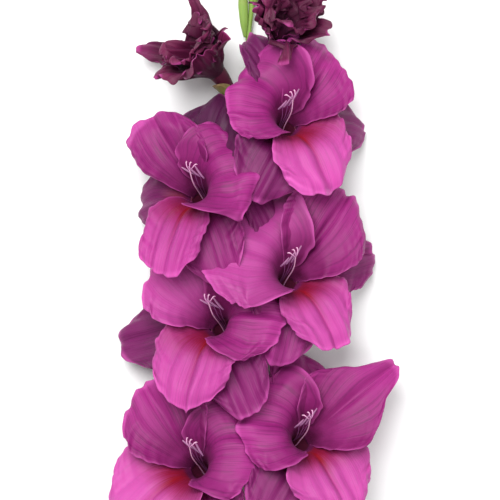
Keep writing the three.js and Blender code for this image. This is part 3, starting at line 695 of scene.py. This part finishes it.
def lean_at(form, t):
    """The angle between the floret's axis and the tepal, at a share t of its length."""
    stretch = FUNNEL_LENGTH / form["length"]
    knots = (0, LEAN_KNOTS[1] * stretch, min(LAST_KNOT, LEAN_KNOTS[2] * stretch), 1)
    total = form["lean"][0] + form["droop"] * np.clip(t, 0, 1) + (OUTER_LEAN if form["outer"] else 0)
    for k in range(3):
        total = total + (form["lean"][k + 1] - form["lean"][k]) * smooth(knots[k], knots[k + 1], t)
    return np.radians(total)


def waves(rng, x, lengths, power=1.0):
    """A sum of sines of the given wavelengths with seeded phases, in -1 to 1."""
    total = sum(np.sin(2 * math.pi * (x / length + rng.random())) / (k + 1) ** power
                for k, length in enumerate(lengths))
    return total / sum(1 / (k + 1) ** power for k in range(len(lengths)))


def tepal_grid(floret, name, form, mouth_radius):
    """(middle points, along, across) of a tepal, with its folds and waves."""
    rng = np.random.default_rng(tepal_seed(floret, name))
    axis, right, up, mouth = floret_frame(floret)
    length = form["length"]
    base_radius = mouth_radius - TUBE_WALL / 2 + (OUTER_FOOT_GAP if form["outer"] else 0)
    base_half = base_radius * math.pi / 3

    # the midrib's radius and height, from a little below the foot to a little past the tip
    step = 1 / MIDRIB_STEPS
    below, past = 0.1, 1.2
    edges = np.arange(-below, past, step)
    leans = lean_at(form, edges + step / 2)
    foot = round(below * MIDRIB_STEPS)
    radius_line = np.concatenate([[0], np.cumsum(np.sin(leans))]) * length * step
    height_line = np.concatenate([[0], np.cumsum(np.cos(leans))]) * length * step
    knots = np.concatenate([edges, [edges[-1] + step]])
    radius_line += base_radius - radius_line[foot]
    height_line += FOOT_RISE - height_line[foot]

    u, v = np.meshgrid(np.linspace(-FOOT_OVERLAP, 1, TEPAL_ROWS), np.linspace(-1, 1, TEPAL_COLUMNS),
                       indexing="ij")
    clipped = np.clip(u, 0, 1)

    rise = np.sin(math.pi / 2 * np.minimum(1, clipped / WIDEST_AT)) ** 0.85
    fall = 1 - (1 - form["tip_width"]) * smooth(WIDEST_AT, 1.02, u)
    free = (base_half + (form["width"] / 2 - base_half) * rise) * fall
    rib_radius = np.interp(clipped, knots, radius_line)
    third = rib_radius * form["share"] * math.pi / 3 / np.maximum(LEAST_SLOPE, np.cos(lean_at(form, clipped)))
    half_width = (free**-4.0 + third**-4.0) ** -0.25

    # the rim isn't quite even: it wanders a little in and out
    rim_wander = 0.035 * waves(rng, v * half_width, (27, 15, 8)) * smooth(0.5, 1, u)
    side_wander = 1 + 0.05 * waves(rng, u * length, (31, 17, 9)) * np.abs(v) ** 2
    t = u * (1 + form["skew"] * v - form["shoulder"] * np.abs(v) ** 2.2 + rim_wander)
    x = v * half_width * side_wander * (1 + form["lop"] * v)

    radius = np.interp(t, knots, radius_line)
    height = np.interp(t, knots, height_line)
    lean = lean_at(form, t)
    turn = math.radians(form["phi"] + floret["roll"])
    outward = up * math.cos(turn) + right * math.sin(turn)
    side = right * math.cos(turn) - up * math.sin(turn)
    front = axis * np.sin(lean)[..., None] - outward * np.cos(lean)[..., None]

    curl = np.cos(lean) / radius + form["cup"] * MM * smooth(0.1, 0.8, t)
    bend = np.where(np.abs(curl * x) < 1e-4, 1e-4, curl * x)
    across_shift = x * np.sin(bend) / bend
    depth = x * (1 - np.cos(bend)) / bend

    open_share = smooth(0.12, 0.75, t)
    mid_fold = -form["crease"] * np.exp(-((v / 0.09) ** 2)) * smooth(0.08, 0.5, t)
    mid_fold += 0.5 * form["crease"] * np.exp(-(((np.abs(v) - 0.2) / 0.13) ** 2)) * smooth(0.1, 0.5, t)
    folds = form["pleat"] * waves(rng, v, (0.92, 0.55, 0.31), 0.6) * open_share
    drift = waves(rng, u + 0.4 * v, (0.9, 0.6)) * 1.6 * open_share
    edge = np.abs(v) ** 2.5
    rim = form["ruffle"] * (
        waves(rng, u * length + 3 * v, (24, 14, 8), 0.5) * edge * smooth(0.15, 0.6, u)
        + waves(rng, v * half_width, (23, 13, 7.5), 0.5) * smooth(0.62, 1.0, u) * (1 - 0.5 * edge)
    )
    brink = np.maximum(np.abs(v) ** 1.5, u)
    roll = form["rollback"] * (1 + 0.6 * waves(rng, u * length + v * 9, (37, 19)))
    back = roll * smooth(0.72, 1.04, brink) ** 2 * smooth(0.25, 0.6, u)
    layer = (form["front"] - (OUTER_GAP if form["outer"] else 0)) * smooth(0.02, 0.3, t)
    offset = depth + mid_fold + folds + drift + rim - back + layer

    middle = (
        mouth
        + axis * height[..., None]
        + outward * radius[..., None]
        + side * across_shift[..., None]
        + front * offset[..., None]
    )
    return middle, t, v


def tepal_tone(form, name, t, v, rng):
    """How deep, flamed and lit the tepal is at each point, for the material: deep is painted shade, with some
    of its own more purple tone, and lit is painted light and painted highlights, with some of its own pinker
    tone.
    """
    # painted shade: the deep share darkens the tepal, more so further out, plus a random tone of each tepal's
    # own
    dark = form["deep"] * (0.55 + 0.45 * smooth(0.1, 0.6, t)) + 0.1 * rng.random()
    flame = np.zeros_like(t)
    if name == "lip":
        flame = np.exp(-((v / 0.8) ** 2)) * smooth(0.02, 0.1, t) * (1 - smooth(0.22, 0.56, t))
        flame += 0.35 * np.exp(-((v / 0.07) ** 2)) * smooth(0.1, 0.2, t) * (1 - smooth(0.5, 0.85, t))
    elif name in ("lower_left", "lower_right"):
        flame = 0.5 * np.exp(-((v / 0.34) ** 2)) * smooth(0.02, 0.14, t) * (1 - smooth(0.2, 0.45, t))
    # painted light: a painted highlight along the rim, and light over tepals that face the lamp, partly their
    # own pinker tone
    brink = np.maximum(np.abs(v), t / (1 - form["shoulder"] * np.abs(v) ** 2.2))
    light = 0.4 * smooth(0.94, 1.0, brink) + form["pale_and_lit"] * smooth(0.15, 0.5, t)
    return np.stack([np.clip(dark, 0, 1), flame, np.clip(light, 0, 1), np.ones_like(t)], -1)


def make_tepal(floret, name):
    form = {**TEPAL_DEFAULTS, **TEPAL_FORM[name], **floret["tepals"][name]}
    middle, t, v = tepal_grid(floret, name, form, MOUTH_RADIUS)
    rng = np.random.default_rng(tepal_seed(floret, name) + 1)
    uv = np.stack([0.5 + 0.5 * v + rng.random(), t], -1)
    piece = shell_piece(floret["name"] + "_" + name + "_tepal", middle, TEPAL_THICKNESS, uv,
                        tepal_tone(form, name, t, v, rng), TEPAL)
    keep(piece, "magenta_tepal", floret["name"] + "_" + name)


# ---------------------------------------------------------------- tube, stamens and style


def tube_radius(share):
    """The radius of an open floret's ovary and tube, at a share of the way from its foot to its mouth."""
    return np.interp(share, (0, 0.1, 0.18, 0.3, 0.6, 0.82, 1),
                     (0.6 * OVARY_RADIUS, 0.8 * OVARY_RADIUS, OVARY_RADIUS, NECK_RADIUS,
                      NECK_RADIUS + TUBE_SWELL, 0.72 * MOUTH_RADIUS, MOUTH_RADIUS))


def make_tube(floret):
    """The ovary and the tube above it, hollow at the mouth."""
    line = tube_points(floret, TUBE_RINGS)
    radius = tube_radius(np.linspace(0, 1, TUBE_RINGS))
    tangent = unit(np.gradient(line, axis=0))
    side = unit(np.cross(tangent, (0.2, 0.1, 1.0)))
    other = np.cross(tangent, side)
    angle = np.linspace(0, 2 * math.pi, TUBE_SIDES + 1)[:-1, None]
    outside, inside = np.arange(TUBE_RINGS), np.arange(TUBE_RINGS - 1, HOLLOW_FLOOR - 1, -1)
    order = np.concatenate([outside, inside])
    radii = np.concatenate([radius[outside], radius[inside] - TUBE_WALL])
    circles = np.cos(angle) * side[order, None] + np.sin(angle) * other[order, None]
    rings = line[order, None] + radii[:, None, None] * circles
    vertices = np.concatenate([rings.reshape(-1, 3), [line[0]], [line[HOLLOW_FLOOR]]])

    foot_middle = len(order) * TUBE_SIDES
    index = np.arange(foot_middle).reshape(-1, TUBE_SIDES)
    ahead = np.roll(index, -1, axis=1)
    quads = np.stack([index[:-1], ahead[:-1], ahead[1:], index[1:]], -1).reshape(-1, 4).tolist()
    caps = [[foot_middle, ahead[0, j], index[0, j]] for j in range(TUBE_SIDES)]
    caps += [[foot_middle + 1, index[-1, j], ahead[-1, j]] for j in range(TUBE_SIDES)]
    uv = [[j / TUBE_SIDES, k / (TUBE_RINGS - 1)] for k in order for j in range(TUBE_SIDES)]
    uv += [[0, 0], [0, 0.6]]
    piece = mesh_piece(floret["name"] + "_tube", placed(vertices), quads + caps, TUBE, uv)
    keep(piece, "perianth_tube", floret["name"] + "_tube_and_stamens")


def with_grains(plain, name, density, grain_mm, seed, skin):
    """Keeps the piece with pollen on it. The real grains are about a third as wide, too fine to show."""
    grains = through_tree(plain, GRAINS_TREE, Density=density, Grain_radius=grain_mm * MM, Seed=seed,
                          Skin=skin)
    keep(linked(name, grains), "perianth_tube")


def make_stamens(floret):
    """Three stamens under the top tepal: each a filament from the tube's wall, and an anther."""
    tube, mouth = tube_points(floret, TUBE_RINGS), floret_frame(floret)[3]
    filaments, anthers = [], []
    for k in (-1, 0, 1):
        path = curved([
            tube[FILAMENT_RING] + floret_point(floret, NECK_RADIUS + TUBE_SWELL, k * 1.2, 0) - mouth,
            floret_point(floret, 4.4, k * 2, -2),
            floret_point(floret, 5.8, k * 3.4, 12),
            floret_point(floret, 9, k * 5, 24 + k),
        ], 24)
        filaments.append(stalk_mesh(path, np.linspace(1.15, 0.8, 24) * FILAMENT_RADIUS, FILAMENT, 40, 10))
        lie = 0.9 * floret["side"] * ANTHER_LENGTH / 2
        anther = curved([
            floret_point(floret, 8 - k, k * 4 - lie, 23 + k),
            floret_point(floret, 9.4, k * 5, 25 + k),
            floret_point(floret, 11.5 + k, k * 6 + lie, 28 + 2 * k),
        ], 16)
        swell = np.sin(np.linspace(0.12, math.pi - 0.12, 16)) ** 0.45
        anthers.append(stalk_mesh(anther, ANTHER_RADIUS * swell, ANTHER, 36, 16, 2, 0.22))
    keep(joined_piece(floret["name"] + "_filaments", *filaments), "perianth_tube")
    plain = joined_piece(floret["name"] + "_anthers_plain", *anthers)
    with_grains(plain, floret["name"] + "_anthers", 2.2e6, 0.11, 7, ANTHER)


def make_style(floret):
    """The style, up the middle of the floret, and the three lobes of its stigma."""
    tube = tube_points(floret, TUBE_RINGS)
    path = curved([*tube[STYLE_RINGS], floret_point(floret, 1.6, 0, 2), floret_point(floret, 3, 0, 20),
                   floret_point(floret, 7.5, 0, 33)], 30)
    style = stalk_mesh(path, np.full(30, STYLE_RADIUS), STIGMA, 40, 10)
    keep(joined_piece(floret["name"] + "_style", style), "perianth_tube")
    lobes = []
    for k in (-1, 0, 1):
        lobe = curved([
            floret_point(floret, 7.2, 0, 32.4),
            floret_point(floret, 8.6, k * 0.35 * STIGMA_LENGTH, 34.6),
            floret_point(floret, 11.5, k * 0.62 * STIGMA_LENGTH, 36.5 - abs(k)),
            floret_point(floret, 12.8, k * 0.72 * STIGMA_LENGTH, 34.5 - abs(k)),
        ], 18)
        widen = np.interp(np.linspace(0, 1, 18), (0, 0.5, 0.85, 1), (0.7, 0.9, 1.35, 0.5)) * STYLE_RADIUS
        lobes.append(stalk_mesh(lobe, widen, STIGMA, 30, 10))
    plain = joined_piece(floret["name"] + "_stigma_plain", *lobes)
    with_grains(plain, floret["name"] + "_stigma", 3e6, 0.1, 11, STIGMA)


# ---------------------------------------------------------------- green parts


def sheet_grid(rows, columns):
    return np.meshgrid(np.linspace(0, 1, rows), np.linspace(-1, 1, columns), indexing="ij")


def sampled(line, marks, at):
    """Points of a line, at given marks along it."""
    return np.stack([np.interp(at, marks, line[:, k]) for k in range(3)], -1)


def wrapped(at, tangent, outside, radius, angle):
    """Points round a line, the angle counted from the side that faces outside."""
    normal = unit(outside - tangent * (tangent @ outside)[..., None])
    beside = np.cross(tangent, normal)
    return at + normal * (radius * np.cos(angle))[..., None] + beside * (radius * np.sin(angle))[..., None]


def sheath_angle(v, u, half_angle, power):
    """The angle across a sheath that narrows to a point at its tip."""
    return v * math.radians(half_angle) * np.sqrt(np.maximum(0.0004, 1 - u**power))


def make_bract(floret, radius_at, length=BRACT_LENGTH):
    """The green bract that clasps the outer side of a tube from its foot."""
    line = tube_points(floret, 200)
    place = np.concatenate([[0], np.cumsum(np.linalg.norm(np.diff(line, axis=0), axis=1))])
    u, v = sheet_grid(60, 41)
    share = np.minimum(1, BRACT_START + u * length / place[-1])
    at = sampled(line, place, share * place[-1])
    tangent = unit(sampled(np.gradient(line, axis=0), place, share * place[-1]))
    rng = np.random.default_rng(tepal_seed(floret, "bract"))
    radius = radius_at(share) + BRACT_CLEARANCE + BRACT_FLARE * smooth(0.5, 1, u)
    radius = radius + 0.25 * waves(rng, v, (0.5, 0.23)) * u
    radius = radius + 0.5 * waves(rng, u * length, (21, 9)) * v * v
    outside = np.array([floret["side"] * 0.6, -0.4, 0.7])
    middle = wrapped(at, tangent, outside, radius, sheath_angle(v, u, BRACT_HALF_ANGLE, 2.2))
    piece = shell_piece(floret["name"] + "_bract_sheath", middle, BRACT_THICKNESS,
                        np.stack([0.5 + 0.5 * v, u], -1), None, BRACT_GREEN)
    keep(piece, "green_bract", floret["name"] + "_bract")


def bract_seat_radius(share):
    """An open floret's tube under its bract, which doesn't follow the ovary's narrow foot."""
    return tube_radius(np.maximum(share, 0.1))


def make_stem():
    """The stem, from its cut end to the tip, with fine ridges."""
    nodes = [stem_node(number) for number in range(LAST_NODE + 1)]
    foot = np.array([0.0, FIRST_NODE - FOOT_LENGTH, 0.0])
    head = np.array([0.0, stem_node(LAST_NODE)[1] + HEAD_LENGTH, 0.0])
    points = curved([foot, foot + (0, FOOT_LENGTH / 2, 0), *nodes, head], 260)
    radii = stem_radius(points[:, 1])
    for node in nodes:  # a slight swelling where each floret grows
        radii = radii * (1 + 0.12 * np.exp(-(((points[:, 1] - node[1]) / 4) ** 2)))
    skin = stalk_mesh(points, radii - RIDGE_HEIGHT, STEM_GREEN, 420, 40, 9, RIDGE_HEIGHT)
    keep(joined_piece("flower_stem", skin), "green_stem", "stem")


def make_bud(bud):
    """A bud in its two bracts: an inner spindle, and sheets that wrap it and part at the tip."""
    node = stem_node(bud["node"])
    off = stem_radius(node[1]) + 0.3
    path = curved([node + (bud["side"] * (off + bud["spread"] * math.sin(1.7 * s)), bud["length"] * s,
                           off * 0.6 + bud["spread"] * 0.5 * s) for s in (0, 0.35, 0.7, 1)], 60)
    marks = np.arange(60)
    profile = bud["radius"] * np.interp(marks / marks[-1], (0, 0.2, 0.45, 0.7, 0.9, 1),
                                        (0.35, 0.8, 1, 0.8, 0.42, 0.12))
    core = stalk_mesh(path, profile - 0.7, BUD_GREEN, 60, 24, 6, 0.12)
    keep(joined_piece(bud["name"] + "_core", core), "green_bud", bud["name"])
    tangent = unit(np.gradient(path, axis=0))
    outside = np.array([bud["side"] * 0.7, -0.2, 0.7])
    u, v = sheet_grid(50, 33)
    for letter, turn, reach, inset in (("a", 0, 0.97, 0.25), ("b", 170, 0.8, 0.6)):
        mark = u * reach * marks[-1]
        angle = sheath_angle(v, u, BUD_BRACT_HALF_ANGLE, 2.6) + math.radians(turn)
        radius = np.interp(mark, marks, profile) - inset + 0.5 * smooth(0.75, 1, u)
        along = unit(sampled(tangent, marks, mark))
        middle = wrapped(sampled(path, marks, mark), along, outside, radius, angle)
        piece = shell_piece(bud["name"] + "_bract_" + letter, middle, BUD_BRACT_THICKNESS,
                            np.stack([0.5 + 0.5 * v, u], -1), None, BUD_GREEN)
        keep(piece, "green_bud")


def make_leaf(leaf):
    """A leaf whose foot wraps the stem and whose blade turns flat beside it."""
    foot = FIRST_NODE - FOOT_LENGTH + leaf["foot"]
    u, v = sheet_grid(150, 49)
    y = foot + leaf["length"] * u
    wrap = stem_radius(y) + 0.8
    open_share = smooth(0.12, 0.5, u)
    half = LEAF_WIDTH / 2 * np.sqrt(np.maximum(0.0004, 1 - u**3))
    x = v * half
    bend = np.maximum((1 - open_share) / wrap, 1e-6)
    across, deep = np.sin(bend * x) / bend, (1 - np.cos(bend * x)) / bend
    turn = np.radians(80 * open_share)
    away = wrap + open_share * (LEAF_WIDTH / 2) + 14 * smooth(0.3, 1, u)
    rng = np.random.default_rng(17 if leaf["side"] > 0 else 18)
    lift = 0.9 * waves(rng, y, (70, 41)) * smooth(0.3, 0.8, u) + 0.25 * np.cos(v * 9 * math.pi) * open_share
    lift = lift - 1.1 * np.exp(-((v / 0.12) ** 2)) * open_share
    middle = np.stack([
        leaf["side"] * (away - deep * np.cos(turn) + across * np.sin(turn)),
        y,
        across * np.cos(turn) + deep * np.sin(turn) - 2 * open_share + lift,
    ], -1)
    if leaf["side"] > 0:
        middle = middle[:, ::-1]
    piece = shell_piece(leaf["name"] + "_blade", middle, LEAF_THICKNESS, np.stack([0.5 + 0.5 * v, u], -1),
                        None, LEAF_GREEN)
    keep(piece, "green_leaf", leaf["name"])


# ---------------------------------------------------------------- opening florets

OPENING_MOUTH_RADIUS = 6.5
OPENING_THICKNESS = 0.5
OUTER_CRUMPLE = 1.3  # depth of the crumples of the outer tepals
INNER_CRUMPLE = 2.4
OPENING_DEFAULTS = dict(pleat=2.6, ruffle=2.6, crease=1.6, share=1.3)
OPENING_TEPALS = {
    "opening_floret_1": [
        dict(phi=10, length=56, width=34, tip_width=0.4, shoulder=0.5, lean=(26, 32, 36, 40), outer=True),
        dict(phi=290, length=60, width=26, lean=(26, 34, 52, 60), outer=True, cup=90, pale_and_lit=0.3),
        dict(phi=100, length=34, width=44, lean=(26, 32, 36, 30), outer=True),
        dict(phi=150, length=44, width=46, lean=(26, 34, 36, 30), outer=True),
        dict(phi=230, length=44, width=46, lean=(26, 34, 38, 30), outer=True),
        dict(phi=30, length=44, width=40, lean=(16, 18, 30, 150), outer=False),
        dict(phi=110, length=42, width=38, lean=(16, 18, 20, 140), outer=False),
        dict(phi=190, length=40, width=38, lean=(14, 16, 30, 160), outer=False),
        dict(phi=270, length=42, width=38, lean=(12, 14, 26, 150), outer=False),
    ],
    "opening_floret_2": [
        dict(phi=350, length=56, width=40, lean=(22, 28, 32, 30), outer=True),
        dict(phi=60, length=42, width=36, lean=(22, 26, 26, 26), outer=True),
        dict(phi=130, length=42, width=40, lean=(22, 30, 34, 30), outer=True),
        dict(phi=190, length=42, width=24, tip_width=0.4, shoulder=0.5, lean=(20, 44, 84, 104), outer=True),
        dict(phi=280, length=36, width=32, lean=(22, 28, 24, 20), outer=True),
        dict(phi=20, length=46, width=38, lean=(14, 16, 30, 150), outer=False),
        dict(phi=110, length=44, width=38, lean=(14, 18, 24, 150), outer=False),
        dict(phi=200, length=40, width=38, lean=(12, 16, 30, 150), outer=False),
        dict(phi=300, length=42, width=38, lean=(12, 14, 26, 150), outer=False),
    ],
}


def opening_tube_radius(share):
    return np.interp(share, (0, 0.2, 0.6, 1), (2.6, 3.4, 4.2, 7.0))


def make_opening_floret(floret):
    """A floret that has begun to unfurl, its tepals still crumpled together."""
    tube, radii = tube_points(floret, TUBE_RINGS), opening_tube_radius(np.linspace(0, 1, TUBE_RINGS))
    stalk = joined_piece(floret["name"] + "_tube", stalk_mesh(tube, radii, TUBE, 60, 24, 6, 0.15))
    keep(stalk, "plum_tepal", floret["name"] + "_tepals")
    for k, own in enumerate(OPENING_TEPALS[floret["name"]]):
        form = {**TEPAL_DEFAULTS, **OPENING_DEFAULTS, **own}
        middle, t, v = tepal_grid(floret, "tepal_%d" % k, form, OPENING_MOUTH_RADIUS)
        rng = np.random.default_rng(tepal_seed(floret, str(k)))
        crumple = sum(np.sin(middle @ rng.normal(0, 0.42 / (m + 1), 3) + 6 * rng.random())[..., None]
                      * rng.normal(0, 1, 3) / (m + 1) for m in range(4))
        depth = OUTER_CRUMPLE if form["outer"] else INNER_CRUMPLE
        middle = middle + depth * crumple * smooth(0.15, 0.6, t)[..., None]
        light = 0.8 * smooth(0.93, 1.0, np.maximum(np.abs(v), t)) + form["pale_and_lit"] * smooth(0.6, 1, t)
        nothing = np.zeros_like(t)
        tone = np.stack([nothing + 0.4 * rng.random(), nothing, np.clip(light, 0, 1), nothing + 1], -1)
        uv = np.stack([0.5 + 0.5 * v + rng.random(), t], -1)
        piece = shell_piece(floret["name"] + "_tepal_%d" % (k + 1), middle, OPENING_THICKNESS, uv, tone, PLUM)
        keep(piece, "plum_tepal")
    make_bract(floret, opening_tube_radius, OPENING_BRACT_LENGTH)


# ---------------------------------------------------------------- stage


def make_stage():
    """A pale floor, soft light from above and the left, and a camera that looks straight down."""
    # Uncoated white paper: its fibres scatter the light evenly, so it is bright and has no gloss
    paper, tree = new_material("white_paper", "#F4F4F4")
    place = add(tree, "ShaderNodeTexCoord").outputs["Object"]
    fibres = add(tree, "ShaderNodeTexNoise", {"Vector": place, "Scale": 1 / (2 * MM), "Detail": 3.0})
    finish_material(tree, linear("#F7F7F7"), fibres, 0.02, 0.9)
    reach = 6.0
    corners = [(-reach, -reach, 0), (reach, -reach, 0), (reach, reach, 0), (-reach, reach, 0)]
    mesh_piece("floor", corners, [(0, 1, 2, 3)], paper)

    scene = bpy.context.scene
    scene.view_settings.view_transform = "Standard"
    scene.world = bpy.data.worlds.new("studio")
    scene.world.use_nodes = True
    background = scene.world.node_tree.nodes["Background"]
    background.inputs["Color"].default_value = (1, 1, 1, 1)
    background.inputs["Strength"].default_value = 0.38

    for name, place, power in (("key", (-0.35, 0.7, 1.5), 37), ("fill", (0.7, -0.2, 1.5), 10)):
        light = bpy.data.lights.new(name, "AREA")
        light.shape, light.size, light.energy = "DISK", 1.2, power
        lamp = linked(name, light)
        lamp.location = place
        lamp.rotation_euler = (Vector((0, 0, 0.04)) - Vector(place)).to_track_quat("-Z", "Y").to_euler()

    # the camera takes in 360 mm at the height of the florets' faces
    view_width, face_height, distance = 360 * MM, 60 * MM, 1.5
    camera = bpy.data.cameras.new("camera")
    camera.sensor_width = 36
    camera.lens = camera.sensor_width * distance / view_width
    camera.clip_end = 20
    scene.camera = linked("camera", camera)
    scene.camera.location = Vector(ORIGIN) + Vector((0, 0, face_height + distance))


make_stage()
make_stem()
for floret in FLORETS:
    make_tube(floret)
    make_stamens(floret)
    make_style(floret)
    for name in TEPAL_FORM:
        make_tepal(floret, name)
    make_bract(floret, bract_seat_radius)
for floret in OPENING_FLORETS:
    make_opening_floret(floret)
for bud in BUDS:
    make_bud(bud)
for leaf in LEAVES:
    make_leaf(leaf)
